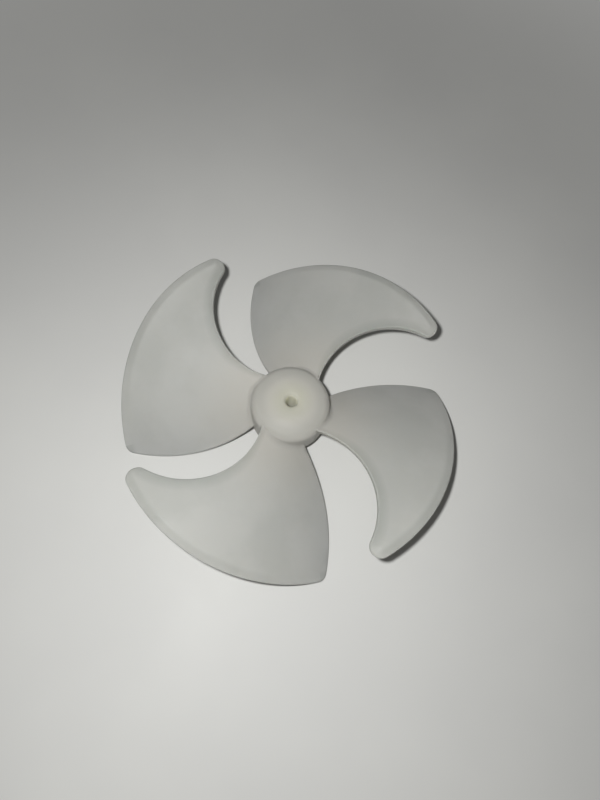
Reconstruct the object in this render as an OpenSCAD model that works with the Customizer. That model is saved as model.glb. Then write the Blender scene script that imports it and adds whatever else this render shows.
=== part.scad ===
// Axial fan wheel of a refrigerator's evaporator, moulded in one piece.
// The hub is a domed cup with a boss that is pushed on the motor's shaft from below.
// Z is the shaft's axis and points out of the dome. The origin is on that axis, in the plane of
// the hub's open rear rim. The wheel turns so that the round noses of the blades lead.

/* [Wheel] */
// Diameter over the blades
wheel_d = 100; // [94:1:104]
// Number of blades
blade_count = 4; // [2:1:4]

/* [Hub] */
// Outer diameter of the hub
hub_d = 23; // [21:0.5:25]
// Height of the straight wall, from the rear rim to the shoulder
hub_wall_h = 9.2; // [8.9:0.1:10.5]
// Radius of the shoulder between the wall and the dome
shoulder_r = 3; // [2.4:0.1:3.6]
// Radius of the dome
dome_r = 30; // [24:1:40]
// Thickness of the wall and of the dome
hub_wall = 1.8; // [1.4:0.1:2.2]
// Radius of the corner inside the cup
cup_corner_r = 1.2; // [0.6:0.1:2]
// Width of the dimple round the bore
dimple_d = 9.6; // [8.8:0.2:11]
// Radius of the dimple's hollow
dimple_r = 26; // [20:1:40]
// Radius of the rounding between the dome and the dimple
dimple_edge_r = 12; // [8:1:14]

/* [Shaft bore] */
// Diameter of the bore that grips the shaft
bore_d = 3.175; // [2:0.005:3.7]
// Radius of the rounding at the bore's mouth in the dimple
mouth_r = 1.2; // [0.6:0.1:1.4]
// Depth of the chamfer that leads the shaft in
bore_lead = 0.4; // [0.2:0.1:0.6]
// Outer diameter of the boss round the bore
boss_d = 8; // [7:0.2:9]
// Number of ribs between the boss and the wall
rib_count = 4; // [2:1:6]
// Thickness of a rib
rib_t = 1.2; // [0.8:0.1:1.6]
// Distance of the ribs from the rear rim
rib_inset = 3; // [1:0.5:5]

/* [Blade outline] */
// Distance from the axis to the centre of the leading edge's arc
lead_arc_at = 29.2; // [28.6:0.1:29.8]
// Direction of that centre, from the middle of the root
lead_arc_angle = -74.6; // [-78:0.2:-72]
// Radius of the leading edge's arc
lead_arc_r = 21.6; // [20.8:0.1:22.4]
// Radius of the blade's nose, between the leading edge and the rim
nose_r = 3; // [2.4:0.1:3.6]
// Distance from the axis to the centre of the trailing edge's arc
trail_arc_at = 52.2; // [51:0.2:54]
// Direction of that centre, from the middle of the root
trail_arc_angle = -32.5; // [-36:0.5:-29]
// Radius of the trailing edge's arc
trail_arc_r = 49.1; // [47:0.1:50.2]
// Radius of the corner between the rim and the trailing edge
corner_r = 2.8; // [2.2:0.1:3.6]

/* [Blade sections] */
// Pitch angle at the hub
pitch_root = 31.5; // [28:0.5:34]
// Pitch angle half-way out
pitch_mid = 25; // [22:0.5:28]
// Pitch angle at the rim
pitch_tip = 16.8; // [14:0.1:20]
// Radius of the camber at the hub
camber_root_r = 38; // [30:1:60]
// Radius of the camber at the rim
camber_tip_r = 86; // [70:1:120]
// Height of the pitch line at the hub, above the hub's rear rim
line_root_h = 6.4; // [6:0.1:6.8]
// Height of the pitch line half-way out
line_mid_h = 7.1; // [6:0.1:8.5]
// Height of the pitch line at the rim
line_tip_h = 12.1; // [10:0.1:14]
// Angle from the middle of the root to the pitch line
line_root_angle = 4; // [2:0.5:6]
// Angle that the pitch line sweeps forward from the hub to the rim
line_sweep = 20; // [16:0.5:24]

/* [Blade thickness] */
// Thickness at the hub
blade_root_t = 1.8; // [1.6:0.1:2.2]
// Thickness at the rim
blade_tip_t = 1.6; // [1.2:0.1:2]
// Thickness of the trailing edge
trail_t = 0.8; // [0.6:0.1:1.2]
// Width of the rounding along the upper edge
edge_w = 2; // [1.4:0.1:2.2]
// Height of the flat that is left below that rounding
edge_land = 0.3; // [0.2:0.1:0.4]
// Radius of the fillet where a blade grows out of the hub
root_fillet_r = 0.9; // [0.5:0.1:1.2]

/* [Hidden] */

wheel_r = wheel_d / 2;
hub_r = hub_d / 2;
bore_r = bore_d / 2;
boss_r = boss_d / 2;
cup_r = hub_r - hub_wall;
roof_r = dome_r - hub_wall;

// Centres of the arcs in the hub's half section, as distances from the axis and heights. Each
// rounding touches the lines on both sides of it.
shoulder = [hub_r - shoulder_r, hub_wall_h];
dome_centre = [0, hub_wall_h - sqrt(pow(dome_r - shoulder_r, 2) - pow(hub_r - shoulder_r, 2))];
dome_top_z = dome_centre[1] + dome_r;
cup_corner_at = cup_r - cup_corner_r;
cup_corner = dome_centre + [cup_corner_at, sqrt(pow(roof_r - cup_corner_r, 2) - pow(cup_corner_at, 2))];

dome_to_dimple = sqrt(pow(dome_r, 2) - pow(dimple_d / 2, 2)) + sqrt(pow(dimple_r, 2) - pow(dimple_d / 2, 2));
dimple_centre = dome_centre + [0, dome_to_dimple];
edge_to_dome = dome_r - dimple_edge_r;
edge_to_dimple = dimple_r + dimple_edge_r;
dimple_edge_h = (pow(edge_to_dome, 2) - pow(edge_to_dimple, 2) + pow(dome_to_dimple, 2))
    / (2 * dome_to_dimple);
dimple_edge = dome_centre + [sqrt(pow(edge_to_dome, 2) - pow(dimple_edge_h, 2)), dimple_edge_h];

mouth_at = bore_r + mouth_r;
mouth_to_dimple = dimple_r + mouth_r;
mouth = dimple_centre + [mouth_at, -sqrt(pow(mouth_to_dimple, 2) - pow(mouth_at, 2))];

// Length by which a cut runs past the face that it opens
over = 1;
// Depth to which a blade's root is sunk in the hub's wall
root_sink = 1;
root_r = hub_r - root_sink;

// Steps of the blade's surface: in the hub's wall, through the root fillet, out along the leading
// edge, round the nose, from the leading to the trailing edge, and round the upper edge
sink_steps = 3;
fillet_steps = 4;
span_steps = 12;
nose_steps = 6;
chord_steps = 18;
edge_steps = 4;
rows = sink_steps + fillet_steps + span_steps + nose_steps;

hub_fn = 96;
bore_fn = 48;

// Value at t between three given at 0, a half and 1, along a parabola
function through(a, b, c, t) = a * (1 - t) * (1 - 2 * t) + b * 4 * t * (1 - t) + c * t * (2 * t - 1);

function mix(a, b, t) = a + (b - a) * t;

function polar(r, angle) = [r * cos(angle), r * sin(angle)];

// Angle of a triangle between its sides a and b, and its side opposite to such an angle
function angle_between(a, b, opposite) =
    acos(max(-1, min(1, (a * a + b * b - opposite * opposite) / (2 * a * b))));

function side_opposite(a, b, angle) = sqrt(a * a + b * b - 2 * a * b * cos(angle));

// Angle, seen from the axis, between the centre of a circle and where it cuts the radius r
function cut_angle(centre_at, circle_r, r) = angle_between(centre_at, r, circle_r);

// Nose: a circle that touches the rim from inside and the leading edge's arc from outside
nose_at = wheel_r - nose_r;
nose_angle = lead_arc_angle + cut_angle(lead_arc_at, lead_arc_r + nose_r, nose_at);

// Corner: a circle that touches the rim and the trailing edge's arc from inside
corner_at = wheel_r - corner_r;
corner_angle = trail_arc_angle + cut_angle(trail_arc_at, trail_arc_r - corner_r, corner_at);

// Radii at which the outline drawn in by d passes from the edges' arcs to these circles
function nose_from_r(d) =
    norm(polar(nose_at, nose_angle) * (lead_arc_r + d) + polar(lead_arc_at, lead_arc_angle) * (nose_r - d))
    / (lead_arc_r + nose_r);

function corner_from_r(d) =
    norm(polar(corner_at, corner_angle) * (trail_arc_r - d)
        - polar(trail_arc_at, trail_arc_angle) * (corner_r - d))
    / (trail_arc_r - corner_r);

// Angles of the leading and trailing edge at radius r, on the outline drawn in by d
function lead_angle(r, d) = r < nose_from_r(d)
    ? lead_arc_angle + cut_angle(lead_arc_at, lead_arc_r + d, r)
    : nose_angle - cut_angle(nose_at, nose_r - d, r);

function trail_angle(r, d) = r < corner_from_r(d)
    ? trail_arc_angle + cut_angle(trail_arc_at, trail_arc_r - d, r)
    : corner_angle + cut_angle(corner_at, corner_r - d, r);

// Angles between the axis and the point where the two arcs meet, seen from the centre of the
// leading edge's arc and from the centre of the nose
lead_end = angle_between(lead_arc_at, lead_arc_r + nose_r, nose_at);
nose_start = angle_between(nose_at, lead_arc_r + nose_r, lead_arc_at);

// Radius of row i of the outline drawn in by d: the rows are spaced evenly along the leading
// edge's arc and then round the nose
function row_r(i, d) =
    let(
        in_fillet = i - sink_steps + 1,
        in_span = in_fillet - fillet_steps,
        in_nose = in_span - span_steps,
        lead_r = lead_arc_r + d,
        lead_start = angle_between(lead_arc_at, lead_r, hub_r + root_fillet_r)
    )
    in_fillet <= 0 ? mix(root_r, hub_r, i / sink_steps)
    : in_span <= 0 ? hub_r + root_fillet_r * (1 - cos(90 * in_fillet / fillet_steps))
    : in_nose <= 0 ? side_opposite(lead_arc_at, lead_r, mix(lead_start, lead_end, in_span / span_steps))
    : side_opposite(nose_at, nose_r - d, mix(nose_start, 180, in_nose / nose_steps));

// Middle surface: each section is an arc with its own pitch and camber, hung on the pitch line
function surface_z(r, angle) =
    let(
        t = (r - hub_r) / (wheel_r - hub_r),
        along = (angle - line_root_angle + line_sweep * t * t) * r * PI / 180,
        line_h = through(line_root_h, line_mid_h, line_tip_h, t),
        pitch = through(pitch_root, pitch_mid, pitch_tip, t),
        camber_r = mix(camber_root_r, camber_tip_r, t)
    )
    line_h - along * tan(pitch) - along * along / (2 * camber_r);

// Thickness at radius r and at the part s of the chord: the blade thins to its trailing edge
function thickness(r, s) =
    let(full = mix(blade_root_t, blade_tip_t, (r - hub_r) / (wheel_r - hub_r)))
    mix(full, trail_t, pow(s, 3));

// Height that the root fillet adds at radius r to a surface at height z. The fillet is the arc of
// a ball that rests on the surface and touches the hub's wall or, further up, its shoulder. At
// the lower side of a blade, which stays below the shoulder, z is 0.
function fillet_h(r, z) =
    let(
        ball_to_shoulder = shoulder_r + root_fillet_r,
        up = max(0, min(ball_to_shoulder, z + root_fillet_r - hub_wall_h)),
        out = sqrt(pow(ball_to_shoulder, 2) - up * up),
        touch_r = shoulder[0] + out * shoulder_r / ball_to_shoulder,
        reach = max(0, min(root_fillet_r, shoulder[0] + out - max(r, touch_r)))
    )
    root_fillet_r - sqrt(pow(root_fillet_r, 2) - reach * reach);

// Part of the full height that the rounded upper edge has, at the distance d from the outline
function edge_rise(d) = sqrt(1 - pow(1 - d / edge_w, 2));

// Point of the upper side, in row i and at the part s of the chord, on the outline drawn in by d
function upper_point(i, s, d) =
    let(
        r = row_r(i, d),
        angle = mix(lead_angle(r, d), trail_angle(r, d), s),
        full = thickness(r, s),
        rise = edge_land + (full - edge_land) * edge_rise(d),
        z = surface_z(r, angle) - full / 2 + rise
    )
    concat(polar(r, angle), z + fillet_h(r, z));

// Point of the lower side, which runs out to the outline itself
function lower_point(i, s) =
    let(r = row_r(i, 0), angle = mix(lead_angle(r, 0), trail_angle(r, 0), s))
    concat(polar(r, angle), surface_z(r, angle) - thickness(r, s) / 2 - fillet_h(r, 0));

// Stations round the open border of the grid: out along the leading edge, along the rim, and
// back along the trailing edge, each a row and a part of the chord
border = concat(
    [for (i = [0 : rows - 1]) [i, 0]],
    [for (j = [1 : chord_steps - 1]) [rows - 1, j / chord_steps]],
    [for (i = [rows - 1 : -1 : 0]) [i, 1]]
);

grid_size = rows * (chord_steps + 1);
ring_size = len(border);

function upper_id(i, j) = i * (chord_steps + 1) + j;
function lower_id(i, j) = grid_size + upper_id(i, j);
function grid_border_id(k) = upper_id(border[k][0], border[k][1] * chord_steps);
// Ring 0 is the border of the upper grid, and the last one stands on the outline
function ring_id(ring, k) = ring == 0 ? grid_border_id(k) : 2 * grid_size + (ring - 1) * ring_size + k;

function strip(a, b, c, d) = [[a, b, c], [a, c, d]];

blade_points = concat(
    [for (i = [0 : rows - 1]) for (j = [0 : chord_steps]) upper_point(i, j / chord_steps, edge_w)],
    [for (i = [0 : rows - 1]) for (j = [0 : chord_steps]) lower_point(i, j / chord_steps)],
    [for (ring = [1 : edge_steps]) for (at = border)
        upper_point(at[0], at[1], edge_w * (1 - sin(90 * ring / edge_steps)))]
);

blade_faces = [
    for (i = [0 : rows - 2]) for (j = [0 : chord_steps - 1]) each concat(
        strip(upper_id(i, j), upper_id(i, j + 1), upper_id(i + 1, j + 1), upper_id(i + 1, j)),
        strip(lower_id(i, j), lower_id(i + 1, j), lower_id(i + 1, j + 1), lower_id(i, j + 1))
    ),
    for (ring = [0 : edge_steps - 1]) for (k = [0 : ring_size - 2])
        each strip(ring_id(ring, k), ring_id(ring, k + 1), ring_id(ring + 1, k + 1), ring_id(ring + 1, k)),
    for (k = [0 : ring_size - 2])
        each strip(ring_id(edge_steps, k), ring_id(edge_steps, k + 1),
            grid_size + grid_border_id(k + 1), grid_size + grid_border_id(k)),
    for (j = [0 : chord_steps - 1])
        each strip(upper_id(0, j), lower_id(0, j), lower_id(0, j + 1), upper_id(0, j + 1)),
    for (ring = [0 : edge_steps - 1]) each [
        [lower_id(0, 0), ring_id(ring, 0), ring_id(ring + 1, 0)],
        [lower_id(0, chord_steps), ring_id(ring + 1, ring_size - 1), ring_id(ring, ring_size - 1)]
    ]
];

module blade() {
    polyhedron(points = blade_points, faces = blade_faces, convexity = 6);
}

// What is outside a rounding at a corner: to_a and to_b point from its centre to where it touches
module corner_waste(centre, r, to_a, to_b) {
    difference() {
        polygon([centre, centre + 2 * r * to_a, centre + 2 * r * to_b]);
        translate(centre) circle(r, $fn = 2 * hub_fn);
    }
}

module hub_outline() {
    difference() {
        intersection() {
            translate(dome_centre) circle(dome_r, $fn = 4 * hub_fn);
            square([hub_r, dome_top_z + over]);
        }
        corner_waste(shoulder, shoulder_r, (shoulder - dome_centre) / (dome_r - shoulder_r), [1, 0]);
        translate(dimple_centre) circle(dimple_r, $fn = 4 * hub_fn);
        corner_waste(dimple_edge, dimple_edge_r, (dimple_edge - dome_centre) / edge_to_dome,
            (dimple_centre - dimple_edge) / edge_to_dimple);
        corner_waste(mouth, mouth_r, [-1, 0], (dimple_centre - mouth) / mouth_to_dimple);
    }
}

// Ring-shaped hollow between the boss and the wall, under a roof as thick as the wall
module cup_outline() {
    difference() {
        intersection() {
            translate(dome_centre) circle(roof_r, $fn = 4 * hub_fn);
            translate([boss_r, -over]) square([cup_r - boss_r, dome_top_z + over]);
        }
        corner_waste(cup_corner, cup_corner_r, (cup_corner - dome_centre) / (roof_r - cup_corner_r), [1, 0]);
    }
}

module ribs() {
    for (i = [0 : rib_count - 1])
        rotate([0, 0, (i + 0.5) * 360 / rib_count])
            translate([boss_r - rib_t / 2, -rib_t / 2, rib_inset])
                cube([cup_r - boss_r + rib_t, rib_t, dome_top_z - rib_inset]);
}

module hub() {
    difference() {
        rotate_extrude($fn = hub_fn) hub_outline();
        difference() {
            rotate_extrude($fn = hub_fn) cup_outline();
            ribs();
        }
    }
}

module shaft_bore() {
    translate([0, 0, -over]) cylinder(d = bore_d, h = dome_top_z + 2 * over, $fn = bore_fn);
    translate([0, 0, -bore_lead])
        cylinder(r1 = bore_r + 2 * bore_lead, r2 = bore_r, h = 2 * bore_lead, $fn = bore_fn);
}

module fan_blade() {
    color([0.86, 0.86, 0.82])
        difference() {
            union() {
                hub();
                for (i = [0 : blade_count - 1]) rotate([0, 0, i * 360 / blade_count]) blade();
            }
            shaft_bore();
        }
}

fan_blade();
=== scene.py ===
"""Looks of a refrigerator's evaporator fan blade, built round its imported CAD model.

The wheel is one moulding of milky plastic. It is modelled finer than the CAD solid, from the same
sizes in metres: the hub's half section is spun, one blade is shaped from a grid and copied round
the hub, and all of it is joined into one closed skin that stands for the CAD node.
"""
import logging
import math
from dataclasses import dataclass, field
from enum import Enum
from typing import Callable

import bmesh
import bpy
from mathutils import Matrix, Vector


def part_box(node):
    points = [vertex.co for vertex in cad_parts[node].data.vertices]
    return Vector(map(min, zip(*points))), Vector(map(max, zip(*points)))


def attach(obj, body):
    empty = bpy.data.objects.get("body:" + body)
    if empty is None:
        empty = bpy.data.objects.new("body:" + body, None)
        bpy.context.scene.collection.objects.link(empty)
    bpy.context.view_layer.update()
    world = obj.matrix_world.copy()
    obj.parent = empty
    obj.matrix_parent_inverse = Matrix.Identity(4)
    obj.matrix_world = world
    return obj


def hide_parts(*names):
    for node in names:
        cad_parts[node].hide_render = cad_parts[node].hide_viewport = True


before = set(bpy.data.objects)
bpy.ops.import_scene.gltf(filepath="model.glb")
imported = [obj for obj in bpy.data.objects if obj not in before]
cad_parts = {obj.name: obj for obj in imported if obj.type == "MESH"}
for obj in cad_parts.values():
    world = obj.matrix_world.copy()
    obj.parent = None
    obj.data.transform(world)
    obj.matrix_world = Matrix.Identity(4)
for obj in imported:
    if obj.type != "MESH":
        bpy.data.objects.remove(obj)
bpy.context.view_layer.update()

log = logging.getLogger("fan_blade")

MM = 0.001
CAD_NODE = "fan_blade"
BODY = "root"
BACKDROP = (0.80, 0.80, 0.78)
BLADE_COUNT = 4

Point = tuple[float, float]


class Side(Enum):
    """The two faces of a blade: the one towards the dome, and the one towards the motor."""

    UPPER = "upper"
    LOWER = "lower"


def deselect_all() -> None:
    """Leaves nothing selected, so that the next operator acts only on its own piece."""
    bpy.ops.object.select_all(action="DESELECT")


def pick(obj: bpy.types.Object) -> None:
    """Makes one object the only selected and the active one.

    Args:
        obj: The object that the next operators act on.
    """
    deselect_all()
    obj.select_set(True)
    bpy.context.view_layer.objects.active = obj


def settle(obj: bpy.types.Object, name: str) -> bpy.types.Object:
    """Moves an object's place into its mesh, and names it.

    Args:
        obj: The object to settle.
        name: The name of the object and of its mesh.

    Returns:
        The same object, at the origin, unturned and unscaled.
    """
    pick(obj)
    bpy.ops.object.transform_apply(location=True, rotation=True, scale=True)
    obj.name = name
    obj.data.name = name
    return obj


def face_outwards(obj: bpy.types.Object, gap: float) -> None:
    """Merges a closed mesh's doubles and turns its faces outwards.

    Args:
        obj: The object to clean.
        gap: Points nearer to each other than this are merged.
    """
    pick(obj)
    bpy.ops.object.mode_set(mode="EDIT")
    bpy.ops.mesh.select_all(action="SELECT")
    bpy.ops.mesh.remove_doubles(threshold=gap)
    bpy.ops.mesh.normals_make_consistent(inside=False)
    bpy.ops.object.mode_set(mode="OBJECT")


def select_edges(obj: bpy.types.Object, wanted: Callable[[Vector, Vector], bool]) -> None:
    """Selects the edges, in edit mode, whose two ends pass a test.

    Args:
        obj: The object in edit mode.
        wanted: Says of an edge's two ends whether it is selected.
    """
    bpy.ops.mesh.select_mode(type="EDGE")
    bpy.ops.mesh.select_all(action="DESELECT")
    mesh = bmesh.from_edit_mesh(obj.data)
    for edge in mesh.edges:
        edge.select_set(wanted(edge.verts[0].co, edge.verts[1].co))
    mesh.select_flush_mode()
    bmesh.update_edit_mesh(obj.data)


def join_solids(base: bpy.types.Object, others: list[bpy.types.Object]) -> None:
    """Fuses closed meshes into one closed skin, and removes what was fused in.

    Args:
        base: The object that the others become part of.
        others: The objects to fuse in, one by one.
    """
    for other in others:
        union = base.modifiers.new("fused", "BOOLEAN")
        union.operation = "UNION"
        union.solver = "MANIFOLD"
        union.object = other
        pick(base)
        bpy.ops.object.modifier_apply(modifier=union.name)
        bpy.data.objects.remove(other, do_unlink=True)


def copies_round(first: bpy.types.Object, count: int) -> list[bpy.types.Object]:
    """Copies a piece evenly round the shaft's axis, each copy with its own mesh.

    Args:
        first: The piece in its own place.
        count: Number of pieces with the first one.

    Returns:
        The first piece and its copies.
    """
    pieces = [first]
    for number in range(1, count):
        copy = first.copy()
        copy.data = first.data.copy()
        bpy.context.collection.objects.link(copy)
        copy.data.transform(Matrix.Rotation(math.tau * number / count, 4, "Z"))
        pieces.append(copy)
    return pieces


def arc(centre: Point, radius: float, start: float, end: float, steps: int) -> list[Point]:
    """Points along an arc of a half section.

    Args:
        centre: Distance from the axis and height of the arc's centre.
        radius: The arc's radius.
        start: Direction of its first point, in degrees from outwards, and up from there.
        end: Direction of its last point.
        steps: Number of steps between them.

    Returns:
        The points, both ends included.
    """
    points = []
    for step in range(steps + 1):
        turn = math.radians(start + (end - start) * step / steps)
        points.append((centre[0] + radius * math.cos(turn), centre[1] + radius * math.sin(turn)))
    return points


def direction(start: Point, end: Point) -> float:
    """Direction in degrees in which one point of a half section lies from another."""
    return math.degrees(math.atan2(end[1] - start[1], end[0] - start[0]))


@dataclass
class Hub:
    """Domed cup with a boss for the shaft, as in the CAD model.

    Its half section is a closed outline of distances from the axis and heights above the rear rim.
    """

    outer_r: float = 11.5 * MM
    wall_h: float = 9.2 * MM
    shoulder_r: float = 3 * MM
    dome_r: float = 30 * MM
    wall: float = 1.8 * MM
    cup_corner_r: float = 1.2 * MM
    dimple_half: float = 4.8 * MM
    dimple_r: float = 26 * MM
    dimple_edge_r: float = 12 * MM
    bore_r: float = 1.5875 * MM
    bore_lead: float = 0.4 * MM
    mouth_r: float = 1.2 * MM
    boss_r: float = 4 * MM
    edge_r: float = 0.25 * MM
    rib_count: int = 4
    rib_t: float = 1.2 * MM
    rib_inset: float = 3 * MM
    rib_sink: float = 0.45 * MM
    seam_gap: float = 0.001 * MM
    spacing: float = 0.5 * MM
    round_steps: int = 192
    edge_steps: int = 4
    mouth_steps: int = 5
    hollow_steps: int = 8
    dome_steps: int = 10
    shoulder_steps: int = 12

    @property
    def cup_r(self) -> float:
        """Inner radius of the hub's wall."""
        return self.outer_r - self.wall

    @property
    def dome_centre(self) -> Point:
        """Centre of the dome's arc, which runs into the shoulder's arc without a corner."""
        reach = self.dome_r - self.shoulder_r
        return (0, self.wall_h - math.sqrt(reach**2 - (self.outer_r - self.shoulder_r) ** 2))

    @property
    def dimple_centre(self) -> Point:
        """Centre of the dimple's hollow, which crosses the dome at half the dimple's width.

        Returns:
            Distance from the axis and height.
        """
        rise = math.sqrt(self.dome_r**2 - self.dimple_half**2)
        sink = math.sqrt(self.dimple_r**2 - self.dimple_half**2)
        return (0, self.dome_centre[1] + rise + sink)

    @property
    def dimple_edge(self) -> Point:
        """Centre of the rounding between the dome and the dimple.

        Returns:
            Distance from the axis and height.
        """
        to_dome = self.dome_r - self.dimple_edge_r
        to_dimple = self.dimple_r + self.dimple_edge_r
        apart = self.dimple_centre[1] - self.dome_centre[1]
        height = (to_dome**2 - to_dimple**2 + apart**2) / (2 * apart)
        return (math.sqrt(to_dome**2 - height**2), self.dome_centre[1] + height)

    def roof_z(self, radius: float) -> float:
        """Height of the cup's roof at a distance from the axis."""
        return self.dome_centre[1] + math.sqrt((self.dome_r - self.wall) ** 2 - radius**2)

    def underside(self) -> list[Point]:
        """Half section from the bore's lead over the boss, the roof and the wall to the rear rim.

        Returns:
            The points of the outline from the bore outwards.
        """
        edge = self.edge_r
        corner_at = self.cup_r - self.cup_corner_r
        roof_r = self.dome_r - self.wall
        reach = roof_r - self.cup_corner_r
        corner = (corner_at, self.dome_centre[1] + math.sqrt(reach**2 - corner_at**2))
        outwards = direction(self.dome_centre, corner)
        start = direction(self.dome_centre, (self.boss_r, self.roof_z(self.boss_r)))
        return [
            (self.bore_r, self.bore_lead),
            (self.bore_r + self.bore_lead, 0),
            *arc((self.boss_r - edge, edge), edge, -90, 0, self.edge_steps),
            *arc(self.dome_centre, roof_r, start, outwards, self.hollow_steps),
            *arc(corner, self.cup_corner_r, outwards, 0, self.hollow_steps),
            *arc((self.cup_r + edge, edge), edge, 180, 270, self.edge_steps),
            *arc((self.outer_r - edge, edge), edge, -90, 0, self.edge_steps),
        ]

    def topside(self) -> list[Point]:
        """Half section from the wall over the shoulder, the dome and the dimple into the bore.

        Returns:
            The points of the outline from the wall inwards.
        """
        shoulder = (self.outer_r - self.shoulder_r, self.wall_h)
        over_shoulder = direction(self.dome_centre, shoulder)
        over_edge = direction(self.dome_centre, self.dimple_edge)
        into_dimple = direction(self.dimple_edge, self.dimple_centre)
        mouth_at = self.bore_r + self.mouth_r
        mouth_reach = self.dimple_r + self.mouth_r
        mouth = (mouth_at, self.dimple_centre[1] - math.sqrt(mouth_reach**2 - mouth_at**2))
        into_mouth = direction(mouth, self.dimple_centre)
        hollow = (into_dimple - 180, into_mouth - 180)
        arcs = (
            (shoulder, self.shoulder_r, 0, over_shoulder, self.shoulder_steps),
            (self.dome_centre, self.dome_r, over_shoulder, over_edge, self.dome_steps),
            (self.dimple_edge, self.dimple_edge_r, over_edge, into_dimple, self.shoulder_steps),
            (self.dimple_centre, self.dimple_r, *hollow, self.hollow_steps),
            (mouth, self.mouth_r, into_mouth, 180, self.mouth_steps),
        )
        points = arc(*arcs[0])
        for following in arcs[1:]:
            points += arc(*following)[1:]
        return points

    def outline(self) -> list[Point]:
        """Closed half section, with points added so that no step is longer than the spacing.

        Returns:
            The points in order round the section.
        """
        corners = self.underside() + self.topside()
        points = []
        for start, end in zip(corners, corners[1:] + corners[:1]):
            length = math.dist(start, end)
            parts = max(1, math.ceil(length / self.spacing))
            for part in range(parts):
                share = part / parts
                points.append(tuple(a + (b - a) * share for a, b in zip(start, end)))
        return points

    def build(self) -> bpy.types.Object:
        """Spins the half section and adds the ribs.

        Returns:
            The hub as one closed mesh.
        """
        section = self.outline()
        deselect_all()
        bpy.ops.mesh.primitive_circle_add(vertices=len(section), radius=self.outer_r)
        hub = bpy.context.object
        for vertex, (radius, height) in zip(hub.data.vertices, section):
            vertex.co = (radius, 0, height)
        bpy.ops.object.mode_set(mode="EDIT")
        bpy.ops.mesh.select_all(action="SELECT")
        bpy.ops.mesh.spin(
            steps=self.round_steps, angle=2 * math.pi, center=(0, 0, 0), axis=(0, 0, 1)
        )
        bpy.ops.object.mode_set(mode="OBJECT")
        face_outwards(hub, self.seam_gap)
        join_solids(hub, copies_round(self.rib(), self.rib_count))
        return settle(hub, "hub")

    def rib(self) -> bpy.types.Object:
        """First rib, with softened edges, sunk into the boss, the wall and the roof.

        Returns:
            The rib as a closed mesh, half a rib's turn round from the direction of a blade.
        """
        inner, outer = self.boss_r - self.rib_t / 2, self.cup_r + self.rib_t / 2
        top = self.roof_z(outer) + self.rib_sink
        deselect_all()
        bpy.ops.mesh.primitive_cube_add(
            size=1,
            location=((inner + outer) / 2, 0, (top + self.rib_inset) / 2),
            scale=(outer - inner, self.rib_t, top - self.rib_inset),
        )
        rib = settle(bpy.context.object, "rib")
        soften = rib.modifiers.new("soft edges", "BEVEL")
        soften.width = self.edge_r
        soften.segments = 3
        bpy.ops.object.modifier_apply(modifier=soften.name)
        rib.data.transform(Matrix.Rotation(math.pi / self.rib_count, 4, "Z"))
        return rib


def angle_between(first: float, second: float, opposite: float) -> float:
    """Angle in degrees of a triangle between two of its sides."""
    cosine = (first**2 + second**2 - opposite**2) / (2 * first * second)
    return math.degrees(math.acos(max(-1.0, min(1.0, cosine))))


def side_opposite(first: float, second: float, angle: float) -> float:
    """Side of a triangle that lies opposite to the angle between the two others."""
    return math.sqrt(first**2 + second**2 - 2 * first * second * math.cos(math.radians(angle)))


@dataclass(frozen=True)
class Arc:
    """Circle that bounds the blade, by its centre's distance and direction from the axis."""

    at: float
    angle: float
    radius: float

    def place(self) -> Vector:
        """Centre of the circle in plan."""
        turn = math.radians(self.angle)
        return Vector((self.at * math.cos(turn), self.at * math.sin(turn)))

    def opening(self, radius: float, grown: float) -> float:
        """Angle between the circle's centre and where it crosses a radius, seen from the axis.

        Args:
            radius: Distance from the axis.
            grown: Length by which the circle is larger than written.

        Returns:
            The angle in degrees.
        """
        return angle_between(self.at, radius, self.radius + grown)


def through(values: tuple[float, float, float], share: float) -> float:
    """Parabola through three values, which stand at the root, half-way out and at the rim."""
    root, middle, rim = values
    return (
        root * (1 - share) * (1 - 2 * share)
        + middle * 4 * share * (1 - share)
        + rim * share * (2 * share - 1)
    )


def between(values: tuple[float, float], share: float) -> float:
    """Value at a share of the way from the first of two to the second."""
    return values[0] + (values[1] - values[0]) * share


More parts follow.
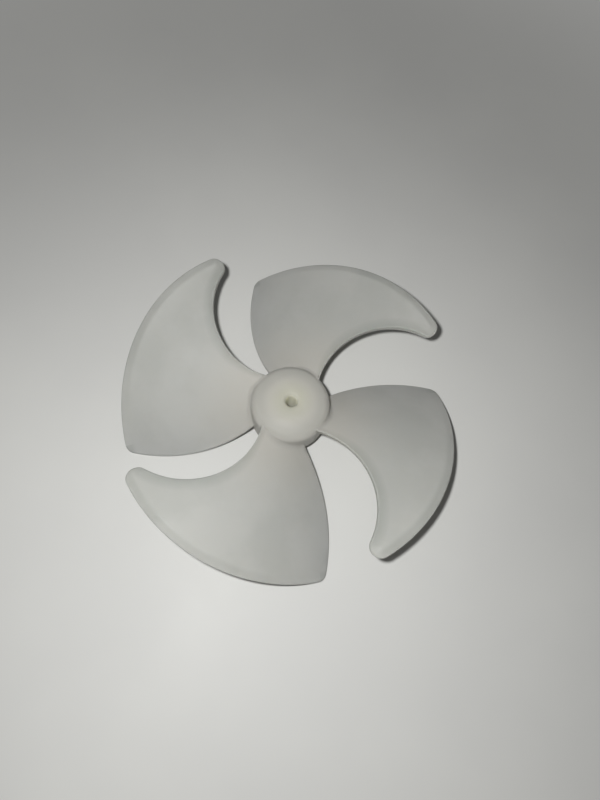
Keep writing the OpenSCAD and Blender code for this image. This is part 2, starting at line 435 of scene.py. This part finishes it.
@dataclass
class Blade:
    """One swept, cambered blade with a bevelled upper edge, on the CAD model's outline.

    Heights are those of the middle surface: each section is an arc with its own pitch and camber,
    hung on a pitch line that sweeps forward. Angles are in degrees from the middle of the root.
    The upper face slopes down a little towards the nose and the rim. It ends in a small rounding.
    """

    hub: Hub
    rim_r: float = 50 * MM
    root_sink: float = 1 * MM
    lead: Arc = Arc(29.2 * MM, -74.6, 21.6 * MM)
    trail: Arc = Arc(52.2 * MM, -32.5, 49.1 * MM)
    nose_r: float = 3 * MM
    corner_r: float = 2.8 * MM
    pitch: tuple[float, float, float] = (31.5, 25.0, 16.8)
    camber_r: tuple[float, float] = (38 * MM, 86 * MM)
    line_h: tuple[float, float, float] = (6.4 * MM, 7.1 * MM, 12.1 * MM)
    line_root_angle: float = 4.0
    line_sweep: float = 20.0
    full_t: tuple[float, float] = (1.8 * MM, 1.6 * MM)
    trail_t: float = 0.8 * MM
    bevel_from_r: float = 43 * MM
    bevel_w: float = 2.9 * MM
    bevel_soft: float = 0.9 * MM
    bevel_slope: float = 17.0
    edge_r: float = 0.35 * MM
    under_fillet_r: float = 0.9 * MM
    upper_fillet_r: float = 1.7 * MM
    chord_cells: int = 56
    sink_cells: int = 3
    fillet_cells: int = 10
    span_cells: int = 44
    nose_cells: int = 14
    bevel_cells: int = 7
    edge_cells: int = 5
    seam_gap: float = 0.0001 * MM
    nose: Arc = field(init=False)
    corner: Arc = field(init=False)

    def __post_init__(self) -> None:
        """Places the nose and the corner so that they touch the rim and the long arcs."""
        nose_at = self.rim_r - self.nose_r
        nose_angle = self.lead.angle + self.lead.opening(nose_at, self.nose_r)
        self.nose = Arc(nose_at, nose_angle, self.nose_r)
        corner_at = self.rim_r - self.corner_r
        corner_angle = self.trail.angle + self.trail.opening(corner_at, -self.corner_r)
        self.corner = Arc(corner_at, corner_angle, self.corner_r)

    def lead_angle(self, radius: float, inset: float) -> float:
        """Angle of the leading edge or the nose.

        Args:
            radius: Distance from the axis.
            inset: Length by which the outline is drawn in.

        Returns:
            The angle from the middle of the root.
        """
        long_r, short_r = self.lead.radius + inset, self.nose_r - inset
        touch = (self.nose.place() * long_r + self.lead.place() * short_r) / (long_r + short_r)
        if radius < touch.length:
            return self.lead.angle + self.lead.opening(radius, inset)
        return self.nose.angle - self.nose.opening(radius, -inset)

    def trail_angle(self, radius: float, inset: float) -> float:
        """Angle of the trailing edge or the rim's corner.

        Args:
            radius: Distance from the axis.
            inset: Length by which the outline is drawn in.

        Returns:
            The angle from the middle of the root.
        """
        long_r, short_r = self.trail.radius - inset, self.corner_r - inset
        touch = (self.corner.place() * long_r - self.trail.place() * short_r) / (long_r - short_r)
        if radius < touch.length:
            return self.trail.angle + self.trail.opening(radius, -inset)
        return self.corner.angle + self.corner.opening(radius, -inset)

    def span_share(self, radius: float) -> float:
        """Share of the way from the hub's wall to the rim."""
        return (radius - self.hub.outer_r) / (self.rim_r - self.hub.outer_r)

    def middle_z(self, radius: float, angle: float) -> float:
        """Height of the middle surface.

        Args:
            radius: Distance from the axis.
            angle: Angle from the middle of the root.

        Returns:
            The height above the hub's rear rim.
        """
        share = self.span_share(radius)
        swept = angle - self.line_root_angle + self.line_sweep * share**2
        along = math.radians(swept) * radius
        slope = math.tan(math.radians(through(self.pitch, share)))
        sag = along**2 / (2 * between(self.camber_r, share))
        return through(self.line_h, share) - along * slope - sag

    def thickness(self, radius: float, chord: float) -> float:
        """Thickness at a radius and a share of the chord: it thins to the trailing edge."""
        full = between(self.full_t, self.span_share(radius))
        return between((full, self.trail_t), chord**3)

    def inset(self, level: int) -> float:
        """Length by which the outline is drawn in at a level of the upper edge.

        Args:
            level: Number of the level, counted from the bevel's inner side outwards.

        Returns:
            The length.
        """
        if level <= self.bevel_cells:
            return between((self.bevel_w, self.edge_r), level / self.bevel_cells)
        turn = math.pi / 2 * (level - self.bevel_cells) / self.edge_cells
        return self.edge_r * (1 - math.sin(turn))

    def bevel_share(self, radius: float, chord: float) -> float:
        """Share of the bevel's full slope: it grows round the nose and fades along the rim.

        Args:
            radius: Distance from the axis.
            chord: Share of the chord.

        Returns:
            The share, from 0 to 1.
        """
        outwards = (radius - self.bevel_from_r) / (self.rim_r - self.bevel_w - self.bevel_from_r)
        outwards = max(0.0, min(1.0, outwards))
        return outwards**2 * (3 - 2 * outwards) * (1 - chord**3)

    def edge_drop(self, radius: float, chord: float, inset: float) -> float:
        """Height that the bevel and the rounding take off the upper face.

        Args:
            radius: Distance from the axis.
            chord: Share of the chord.
            inset: Distance from the outline.

        Returns:
            The height that is missing.
        """
        inside, soft = self.bevel_w - inset, self.bevel_soft
        slope = math.tan(math.radians(self.bevel_slope)) * self.bevel_share(radius, chord)
        drop = slope * (inside**2 / (2 * soft) if inside < soft else inside - soft / 2)
        if inset < self.edge_r:
            drop += self.edge_r - math.sqrt(self.edge_r**2 - (self.edge_r - inset) ** 2)
        return drop

    def fillet(self, radius: float, height: float, ball: float) -> float:
        """Height that a root's fillet adds: the arc of a ball between the blade and the hub.

        Args:
            radius: Distance from the axis.
            height: Height of the blade's surface, on which the ball rests. Above the hub's wall
                the ball touches the shoulder.
            ball: The ball's radius.

        Returns:
            The height from the surface up to the arc.
        """
        hub = self.hub
        reach = hub.shoulder_r + ball
        up = max(0.0, min(reach, height + ball - hub.wall_h))
        out = math.sqrt(reach**2 - up**2)
        inner = hub.outer_r - hub.shoulder_r
        touch_r = inner + out * hub.shoulder_r / reach
        gap = max(0.0, min(ball, inner + out - max(radius, touch_r)))
        return ball - math.sqrt(ball**2 - gap**2)

    def row_radius(self, row: int, inset: float) -> float:
        """Radius of a row of the grid: evenly along the leading edge, then round the nose.

        Args:
            row: Number of the row, counted from the one that is sunk in the hub's wall.
            inset: Length by which the outline is drawn in.

        Returns:
            The row's radius.
        """
        hub_r = self.hub.outer_r
        in_fillet = row - self.sink_cells + 1
        if in_fillet <= 0:
            return between((hub_r - self.root_sink, hub_r), row / self.sink_cells)
        if in_fillet <= self.fillet_cells:
            turn = math.pi / 2 * in_fillet / self.fillet_cells
            return hub_r + self.upper_fillet_r * (1 - math.cos(turn))
        in_span = in_fillet - self.fillet_cells
        touching = self.lead.radius + self.nose_r
        if in_span <= self.span_cells:
            size = self.lead.radius + inset
            start = angle_between(self.lead.at, size, hub_r + self.upper_fillet_r)
            end = angle_between(self.lead.at, touching, self.nose.at)
            angle = between((start, end), in_span / self.span_cells)
            return side_opposite(self.lead.at, size, angle)
        start = angle_between(self.nose.at, touching, self.lead.at)
        angle = between((start, 180.0), (in_span - self.span_cells) / self.nose_cells)
        return side_opposite(self.nose.at, self.nose_r - inset, angle)

    def point(self, row: int, chord: float, inset: float, side: Side) -> Vector:
        """A point of the blade's skin.

        Args:
            row: Number of the row.
            chord: Share of the chord, from the leading to the trailing edge.
            inset: Length by which the outline is drawn in.
            side: The face that the point lies on.

        Returns:
            The point's place.
        """
        radius = self.row_radius(row, inset)
        lead, trail = self.lead_angle(radius, inset), self.trail_angle(radius, inset)
        angle = between((lead, trail), chord)
        full = self.thickness(radius, chord)
        height = self.middle_z(radius, angle) - full / 2
        if side is Side.UPPER:
            height += full - self.edge_drop(radius, chord, inset)
            height += self.fillet(radius, height, self.upper_fillet_r)
        else:
            height -= self.fillet(radius, 0.0, self.under_fillet_r)
        turn = math.radians(angle)
        return Vector((radius * math.cos(turn), radius * math.sin(turn), height))

    def build(self) -> bpy.types.Object:
        """Shapes one blade from a grid that is drawn down into a slab and cut into levels.

        The slab's top level becomes the upper face inside the rounded edge, each level below it
        a ring of that edge, and the lowest one the lower face.

        Returns:
            The blade as a closed mesh.
        """
        rows = self.sink_cells + self.fillet_cells + self.span_cells + self.nose_cells - 1
        levels = self.bevel_cells + self.edge_cells + 1
        deselect_all()
        bpy.ops.mesh.primitive_grid_add(
            x_subdivisions=self.chord_cells, y_subdivisions=rows, size=1, location=(0, 0, 0)
        )
        blade = bpy.context.object
        bpy.ops.object.mode_set(mode="EDIT")
        bpy.ops.mesh.select_all(action="SELECT")
        bpy.ops.mesh.extrude_region_move(TRANSFORM_OT_translate={"value": (0, 0, -1)})
        select_edges(blade, lambda a, b: abs(a.z - b.z) > 0.5)
        bpy.ops.mesh.subdivide(number_cuts=levels - 1)
        bpy.ops.object.mode_set(mode="OBJECT")
        for vertex in blade.data.vertices:
            chord, row = vertex.co.x + 0.5, round((vertex.co.y + 0.5) * rows)
            level = round(-vertex.co.z * levels)
            if level == levels:
                vertex.co = self.point(row, chord, 0.0, Side.LOWER)
            else:
                vertex.co = self.point(row, chord, self.inset(level), Side.UPPER)
        face_outwards(blade, self.seam_gap)
        return settle(blade, "blade")


@dataclass(frozen=True)
class Zone:
    """Colour round the shaft's axis, full up to one distance from it and gone from another."""

    colour: tuple[float, float, float]
    full_r: float
    none_r: float


@dataclass(frozen=True)
class MilkyPlastic:
    """Natural polypropylene as moulded: slightly cloudy, satin, and warmer where it is thick.

    Its colour is darkened along the blades' leading edges and rims and on the hub's shoulder,
    painted shade for the light that leaves it sideways there, and lightened inside the shaft's
    bore, painted light.
    """

    name: str = "milky plastic"
    body: tuple[float, float, float] = (0.50, 0.503, 0.478)
    cloud: tuple[float, float, float] = (0.46, 0.465, 0.44)
    roots: Zone = Zone((0.50, 0.49, 0.452), 10 * MM, 34 * MM)
    boss: Zone = Zone((0.50, 0.495, 0.42), 1.8 * MM, 8.5 * MM)
    # Painted light: the inside of the shaft's bore is coloured much lighter than the body.
    bore: Zone = Zone((0.82, 0.81, 0.69), 1.58 * MM, 1.9 * MM)
    # Painted shade: this colour multiplies the body along the blades' leading edges and rims and
    # on the hub's shoulder.
    edge: tuple[float, float, float] = (0.78, 0.79, 0.78)
    # Sizes and strengths of the painted edge and shoulder shade.
    lead_shade_w: tuple[float, float] = (1.8 * MM, 3.3 * MM)
    lead_shade_r: tuple[float, float] = (12 * MM, 27 * MM)
    lead_shade_behind: float = 0.5 * MM
    shade_off_hub_r: tuple[float, float] = (10.6 * MM, 11.6 * MM)
    rim_shade_share: float = 0.5
    rim_r: tuple[float, float] = (46.8 * MM, 48.5 * MM)
    rim_shade_turn: tuple[float, float] = (98.0, 45.0)
    first_turn: float = 8.0
    shoulder_shade_share: float = 0.5
    shoulder_shade_in_r: tuple[float, float] = (6.0 * MM, 9.5 * MM)
    shoulder_shade_out_r: tuple[float, float] = (11.4 * MM, 10.2 * MM)
    cloud_scale: float = 45.0
    smudge_scale: float = 130.0
    cloud_limits: tuple[float, float] = (0.38, 0.62)
    smudge_limits: tuple[float, float] = (0.40, 0.70)
    grain_scale: float = 1500.0
    grain_depth: float = 0.01 * MM
    gloss: tuple[float, float] = (0.40, 0.52)
    refraction: float = 1.49
    shine: float = 0.12
    glow: float = 1.0
    glow_depth: float = 3.2 * MM
    glow_tint: tuple[float, float, float] = (1.0, 0.97, 0.92)

    def build(self) -> bpy.types.Material:
        """Makes the material.

        Returns:
            The material, ready for an object's slot.
        """
        kit = Nodes(self.name)
        shader = kit.shader
        cloud = kit.patches(self.cloud_scale, *self.cloud_limits)
        smudge = kit.patches(self.smudge_scale, *self.smudge_limits)
        tint = kit.mix_colour(cloud, self.body, self.cloud)
        distance, turn = kit.polar(Blade.lead.angle, self.first_turn, BLADE_COUNT)
        # Warmer tints at the roots and the boss; the bore's zone is painted light in the hole.
        for zone in (self.roots, self.boss, self.bore):
            near = kit.ramp(distance, zone.none_r, zone.full_r)
            tint = kit.mix_colour(near, tint, zone.colour)
        # Painted shade along the blades' edges and on the hub's shoulder.
        tint = kit.mix_colour(self.edges(kit, distance, turn), tint, self.edge, "MULTIPLY")
        kit.link(tint, shader.inputs["Base Color"])
        kit.link(kit.spread(smudge, *self.gloss), shader.inputs["Roughness"])
        kit.link(kit.bump(self.grain_scale, self.grain_depth), shader.inputs["Normal"])
        shader.inputs["IOR"].default_value = self.refraction
        shader.inputs["Specular IOR Level"].default_value = self.shine
        shader.inputs["Subsurface Weight"].default_value = self.glow
        shader.inputs["Subsurface Scale"].default_value = self.glow_depth
        shader.inputs["Subsurface Radius"].default_value = self.glow_tint
        return kit.material

    def edges(
        self, kit: "Nodes", distance: bpy.types.NodeSocket, turn: bpy.types.NodeSocket
    ) -> bpy.types.NodeSocket:
        """Mask of the painted shade on the blades' leading edges and rims and on the hub's
        shoulder.

        Args:
            kit: The material's nodes.
            distance: Distance from the shaft's axis.
            turn: Angle from the direction of the leading edge's centre.

        Returns:
            The mask's socket.
        """
        width = kit.spread(kit.ramp(distance, *self.lead_shade_r), *self.lead_shade_w)
        lead = kit.beside_arc(distance, turn, Blade.lead, self.lead_shade_behind, width)
        along = [math.radians(angle) for angle in self.rim_shade_turn]
        rim = kit.calculate("MULTIPLY", kit.ramp(distance, *self.rim_r), kit.ramp(turn, *along))
        rim = kit.calculate("MULTIPLY", rim, self.rim_shade_share)
        shoulder = kit.ramp(distance, *self.shoulder_shade_in_r)
        shoulder = kit.calculate("MULTIPLY", shoulder, kit.ramp(distance, *self.shoulder_shade_out_r))
        shoulder = kit.calculate("MULTIPLY", shoulder, self.shoulder_shade_share)
        off_hub = kit.ramp(distance, *self.shade_off_hub_r)
        blades = kit.calculate("MULTIPLY", kit.calculate("MAXIMUM", lead, rim), off_hub)
        return kit.calculate("MAXIMUM", blades, shoulder)


@dataclass(frozen=True)
class TableTop:
    """Smooth pale table under the wheel, which the camera sees fade into the backdrop far out."""

    name: str = "table top"
    body: tuple[float, float, float] = (0.72, 0.72, 0.69)
    cloud: tuple[float, float, float] = (0.68, 0.68, 0.655)
    cloud_scale: float = 9.0
    cloud_limits: tuple[float, float] = (0.35, 0.65)
    gloss: tuple[float, float] = (0.42, 0.50)
    shine: float = 0.2
    fading_r: tuple[float, float] = (100 * MM, 600 * MM)

    def build(self) -> bpy.types.Material:
        """Makes the material.

        Returns:
            The material, ready for the floor's slot.
        """
        kit = Nodes(self.name)
        cloud = kit.patches(self.cloud_scale, *self.cloud_limits)
        kit.link(kit.mix_colour(cloud, self.body, self.cloud), kit.shader.inputs["Base Color"])
        kit.link(kit.spread(cloud, *self.gloss), kit.shader.inputs["Roughness"])
        kit.shader.inputs["Specular IOR Level"].default_value = self.shine
        distance, _ = kit.polar()
        kit.show_instead(kit.ramp(distance, *self.fading_r), BACKDROP)
        return kit.material


def patches_group() -> bpy.types.NodeTree:
    """Node group for the soft patches that both materials use, made once.

    Returns:
        The group: Scale, Low and High in, Mask out.
    """
    name = "soft patches"
    if name in bpy.data.node_groups:
        return bpy.data.node_groups[name]
    group = bpy.data.node_groups.new(name, "ShaderNodeTree")
    for label in ("Scale", "Low", "High"):
        group.interface.new_socket(label, in_out="INPUT", socket_type="NodeSocketFloat")
    group.interface.new_socket("Mask", in_out="OUTPUT", socket_type="NodeSocketFloat")
    start, end = group.nodes.new("NodeGroupInput"), group.nodes.new("NodeGroupOutput")
    place = group.nodes.new("ShaderNodeTexCoord")
    noise = group.nodes.new("ShaderNodeTexNoise")
    noise.inputs["Detail"].default_value = 4.0
    noise.inputs["Roughness"].default_value = 0.55
    steps = group.nodes.new("ShaderNodeMapRange")
    steps.interpolation_type = "SMOOTHSTEP"
    group.links.new(place.outputs["Object"], noise.inputs["Vector"])
    group.links.new(start.outputs["Scale"], noise.inputs["Scale"])
    group.links.new(noise.outputs["Fac"], steps.inputs["Value"])
    group.links.new(start.outputs["Low"], steps.inputs["From Min"])
    group.links.new(start.outputs["High"], steps.inputs["From Max"])
    group.links.new(steps.outputs["Result"], end.inputs["Mask"])
    return group


class Nodes:
    """A material's node tree and the few steps that the finishes are made of."""

    def __init__(self, name: str) -> None:
        """Makes an empty material with its shader.

        Args:
            name: The material's name.
        """
        self.material = bpy.data.materials.new(name)
        self.material.use_nodes = True
        self.tree = self.material.node_tree
        self.shader = self.tree.nodes["Principled BSDF"]

    def link(self, out: bpy.types.NodeSocket, into: bpy.types.NodeSocket) -> None:
        """Connects two sockets."""
        self.tree.links.new(out, into)

    def patches(self, scale: float, low: float, high: float) -> bpy.types.NodeSocket:
        """Soft patches over the surface.

        Args:
            scale: Number of patches for each metre.
            low: Noise value below which the mask is 0.
            high: Noise value above which the mask is 1.

        Returns:
            The mask's socket.
        """
        node = self.tree.nodes.new("ShaderNodeGroup")
        node.node_tree = patches_group()
        for label, value in (("Scale", scale), ("Low", low), ("High", high)):
            node.inputs[label].default_value = value
        return node.outputs["Mask"]

    def mix_colour(
        self,
        mask: bpy.types.NodeSocket,
        first: bpy.types.NodeSocket | tuple[float, float, float],
        second: tuple[float, float, float],
        blend: str = "MIX",
    ) -> bpy.types.NodeSocket:
        """Blends two colours by a mask.

        Args:
            mask: Share of the second colour.
            first: A colour, or a socket that gives one.
            second: The other colour.
            blend: Name of the way in which the second colour acts on the first.

        Returns:
            The blended colour's socket.
        """
        node = self.tree.nodes.new("ShaderNodeMix")
        node.data_type = "RGBA"
        node.blend_type = blend
        self.link(mask, node.inputs["Factor"])
        if isinstance(first, bpy.types.NodeSocket):
            self.link(first, node.inputs["A"])
        else:
            node.inputs["A"].default_value = (*first, 1)
        node.inputs["B"].default_value = (*second, 1)
        return node.outputs["Result"]

    def spread(self, mask: bpy.types.NodeSocket, low: float, high: float) -> bpy.types.NodeSocket:
        """Turns a mask into values between two limits.

        Args:
            mask: The mask.
            low: Value where the mask is 0.
            high: Value where the mask is 1.

        Returns:
            The values' socket.
        """
        node = self.tree.nodes.new("ShaderNodeMapRange")
        self.link(mask, node.inputs["Value"])
        node.inputs["To Min"].default_value = low
        node.inputs["To Max"].default_value = high
        return node.outputs["Result"]

    def calculate(
        self, operation: str, first: bpy.types.NodeSocket, second: bpy.types.NodeSocket | float
    ) -> bpy.types.NodeSocket:
        """Calculates with one value and a second one.

        Args:
            operation: Name of the calculation.
            first: The first value's socket.
            second: The second value, or its socket.

        Returns:
            The result's socket.
        """
        node = self.tree.nodes.new("ShaderNodeMath")
        node.operation = operation
        self.link(first, node.inputs[0])
        if isinstance(second, bpy.types.NodeSocket):
            self.link(second, node.inputs[1])
        else:
            node.inputs[1].default_value = second
        return node.outputs["Value"]

    def ramp(self, value: bpy.types.NodeSocket, none: float, full: float) -> bpy.types.NodeSocket:
        """Mask that changes softly between two values.

        Args:
            value: The value that the mask follows.
            none: Value at which the mask is 0.
            full: Value at which the mask is 1. It may be the smaller one.

        Returns:
            The mask's socket.
        """
        node = self.tree.nodes.new("ShaderNodeMapRange")
        node.interpolation_type = "SMOOTHSTEP"
        self.link(value, node.inputs["Value"])
        node.inputs["From Min"].default_value = none
        node.inputs["From Max"].default_value = full
        return node.outputs["Result"]

    def polar(
        self, start: float = 0.0, least: float = 0.0, count: int = 1
    ) -> tuple[bpy.types.NodeSocket, bpy.types.NodeSocket]:
        """Place in equal sectors round the shaft's axis.

        Args:
            start: Direction in degrees from which the angles are measured in the first sector.
            least: Angle in degrees from there at which the first sector begins.
            count: Number of sectors.

        Returns:
            Distance from the axis, and angle in radians within the point's own sector.
        """
        place = self.tree.nodes.new("ShaderNodeTexCoord")
        parts = self.tree.nodes.new("ShaderNodeSeparateXYZ")
        self.link(place.outputs["Object"], parts.inputs["Vector"])
        across, up = parts.outputs["X"], parts.outputs["Y"]
        squares = [self.calculate("MULTIPLY", value, value) for value in (across, up)]
        distance = self.calculate("POWER", self.calculate("ADD", *squares), 0.5)
        turn = self.calculate("ARCTAN2", up, across)
        turn = self.calculate("SUBTRACT", turn, math.radians(start + least))
        turn = self.calculate("FLOORED_MODULO", turn, math.tau / count)
        return distance, self.calculate("ADD", turn, math.radians(least))

    def show_instead(
        self, mask: bpy.types.NodeSocket, colour: tuple[float, float, float]
    ) -> None:
        """Lets the camera see a plain colour where a mask is 1. It lights nothing.

        Args:
            mask: Share of the plain colour.
            colour: The plain colour.
        """
        nodes = self.tree.nodes
        ray, plain = nodes.new("ShaderNodeLightPath"), nodes.new("ShaderNodeEmission")
        mix, out = nodes.new("ShaderNodeMixShader"), nodes["Material Output"]
        plain.inputs["Color"].default_value = (*colour, 1)
        seen = self.calculate("MULTIPLY", mask, ray.outputs["Is Camera Ray"])
        self.link(seen, mix.inputs["Fac"])
        self.link(self.shader.outputs["BSDF"], mix.inputs[1])
        self.link(plain.outputs["Emission"], mix.inputs[2])
        self.link(mix.outputs["Shader"], out.inputs["Surface"])

    def beside_arc(
        self,
        distance: bpy.types.NodeSocket,
        turn: bpy.types.NodeSocket,
        edge: Arc,
        behind: float,
        width: bpy.types.NodeSocket,
    ) -> bpy.types.NodeSocket:
        """Mask of the band outside an arc.

        Args:
            distance: Distance from the axis.
            turn: Angle from the direction of the arc's centre.
            edge: The arc.
            behind: Length by which the band also reaches inside the arc.
            width: Width of the band, over which the mask falls from 1 to 0.

        Returns:
            The mask's socket.
        """
        cosine = self.calculate("COSINE", turn, 0)
        squares = self.calculate("ADD", self.calculate("POWER", distance, 2), edge.at**2)
        product = self.calculate("MULTIPLY", distance, 2 * edge.at)
        product = self.calculate("MULTIPLY", product, cosine)
        beside = self.calculate("POWER", self.calculate("SUBTRACT", squares, product), 0.5)
        beside = self.calculate("SUBTRACT", beside, edge.radius)
        outside = self.calculate("GREATER_THAN", beside, -behind)
        fading = self.tree.nodes.new("ShaderNodeMapRange")
        self.link(beside, fading.inputs["Value"])
        self.link(width, fading.inputs["From Max"])
        fading.inputs["To Min"].default_value = 1
        fading.inputs["To Max"].default_value = 0
        return self.calculate("MULTIPLY", outside, fading.outputs["Result"])

    def bump(self, scale: float, depth: float) -> bpy.types.NodeSocket:
        """Very fine unevenness of a moulded surface.

        Args:
            scale: Number of bumps for each metre.
            depth: Their height.

        Returns:
            The normal's socket.
        """
        nodes = self.tree.nodes
        place = nodes.new("ShaderNodeTexCoord")
        noise = nodes.new("ShaderNodeTexNoise")
        noise.inputs["Scale"].default_value = scale
        noise.inputs["Detail"].default_value = 2.0
        bump = nodes.new("ShaderNodeBump")
        bump.inputs["Distance"].default_value = depth
        self.link(place.outputs["Object"], noise.inputs["Vector"])
        self.link(noise.outputs["Fac"], bump.inputs["Height"])
        return bump.outputs["Normal"]


@dataclass
class FanWheel:
    """The whole moulding: the hub with its blades, fused."""

    hub: Hub = field(default_factory=Hub)
    finish: MilkyPlastic = field(default_factory=MilkyPlastic)
    sharp_from: float = 40.0

    def build(self) -> bpy.types.Object:
        """Makes the wheel, dresses it and puts it in the CAD node's place.

        Returns:
            The finished piece.
        """
        wheel = self.hub.build()
        join_solids(wheel, copies_round(Blade(self.hub).build(), BLADE_COUNT))
        face_outwards(wheel, Blade.seam_gap)
        settle(wheel, "fan_wheel")
        bpy.ops.object.shade_smooth_by_angle(angle=math.radians(self.sharp_from))
        wheel.data.materials.clear()
        wheel.data.materials.append(self.finish.build())
        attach(wheel, BODY)
        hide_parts(CAD_NODE)
        return wheel


@dataclass
class Studio:
    """Pale table, lamp and camera, placed as the photograph was taken."""

    floor_size: float = 6.0
    camera_at: tuple[float, float, float] = (0.26 * MM, -53.33 * MM, 166.79 * MM)
    camera_turn: tuple[float, float, float] = (18.765, -4.866, 11.799)
    lens: float = 25.64
    sensor: float = 36.0
    sees_from: float = 5 * MM
    key_at: tuple[float, float, float] = (-13.2 * MM, -48.4 * MM, 168.3 * MM)
    key_size: float = 8 * MM
    key_power: float = 1.05
    sky: tuple[float, float, float] = (0.08, 0.08, 0.08)

    def lay_floor(self, height: float) -> None:
        """Lays the table top under the wheel.

        Args:
            height: Height of the wheel's lowest point.
        """
        deselect_all()
        bpy.ops.mesh.primitive_plane_add(size=self.floor_size, location=(0, 0, height))
        floor = settle(bpy.context.object, "table_top")
        floor.data.materials.append(TableTop().build())

    def hang_lamp(self) -> None:
        """Hangs the key lamp beside the camera, and lights the surroundings evenly."""
        deselect_all()
        bpy.ops.object.light_add(type="POINT", location=self.key_at)
        lamp = bpy.context.object
        lamp.name = "key_lamp"
        lamp.data.shadow_soft_size = self.key_size / 2
        lamp.data.energy = self.key_power
        world = bpy.data.worlds.new("surroundings")
        bpy.context.scene.world = world
        world.use_nodes = True
        nodes, links = world.node_tree.nodes, world.node_tree.links
        nodes.clear()
        sky, backdrop = nodes.new("ShaderNodeBackground"), nodes.new("ShaderNodeBackground")
        sky.inputs["Color"].default_value = (*self.sky, 1)
        backdrop.inputs["Color"].default_value = (*BACKDROP, 1)
        ray, mix = nodes.new("ShaderNodeLightPath"), nodes.new("ShaderNodeMixShader")
        out = nodes.new("ShaderNodeOutputWorld")
        links.new(ray.outputs["Is Camera Ray"], mix.inputs["Fac"])
        links.new(sky.outputs["Background"], mix.inputs[1])
        links.new(backdrop.outputs["Background"], mix.inputs[2])
        links.new(mix.outputs["Shader"], out.inputs["Surface"])

    def set_camera(self) -> None:
        """Puts the camera where the photograph was taken from."""
        deselect_all()
        turn = tuple(math.radians(angle) for angle in self.camera_turn)
        bpy.ops.object.camera_add(location=self.camera_at, rotation=turn)
        camera = bpy.context.object
        camera.name = "camera"
        camera.data.lens = self.lens
        camera.data.sensor_width = self.sensor
        camera.data.sensor_fit = "AUTO"
        camera.data.clip_start = self.sees_from
        bpy.context.scene.camera = camera
        bpy.context.scene.view_settings.view_transform = "Standard"


def main() -> None:
    """Builds the scene in order and reports each piece."""
    logging.basicConfig(level=logging.INFO, format="%(message)s")
    studio = Studio()
    studio.set_camera()
    studio.hang_lamp()
    studio.lay_floor(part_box(CAD_NODE)[0].z)
    wheel = FanWheel().build()
    log.info("%s: %d faces", wheel.name, len(wheel.data.polygons))


if __name__ == "__main__":
    main()
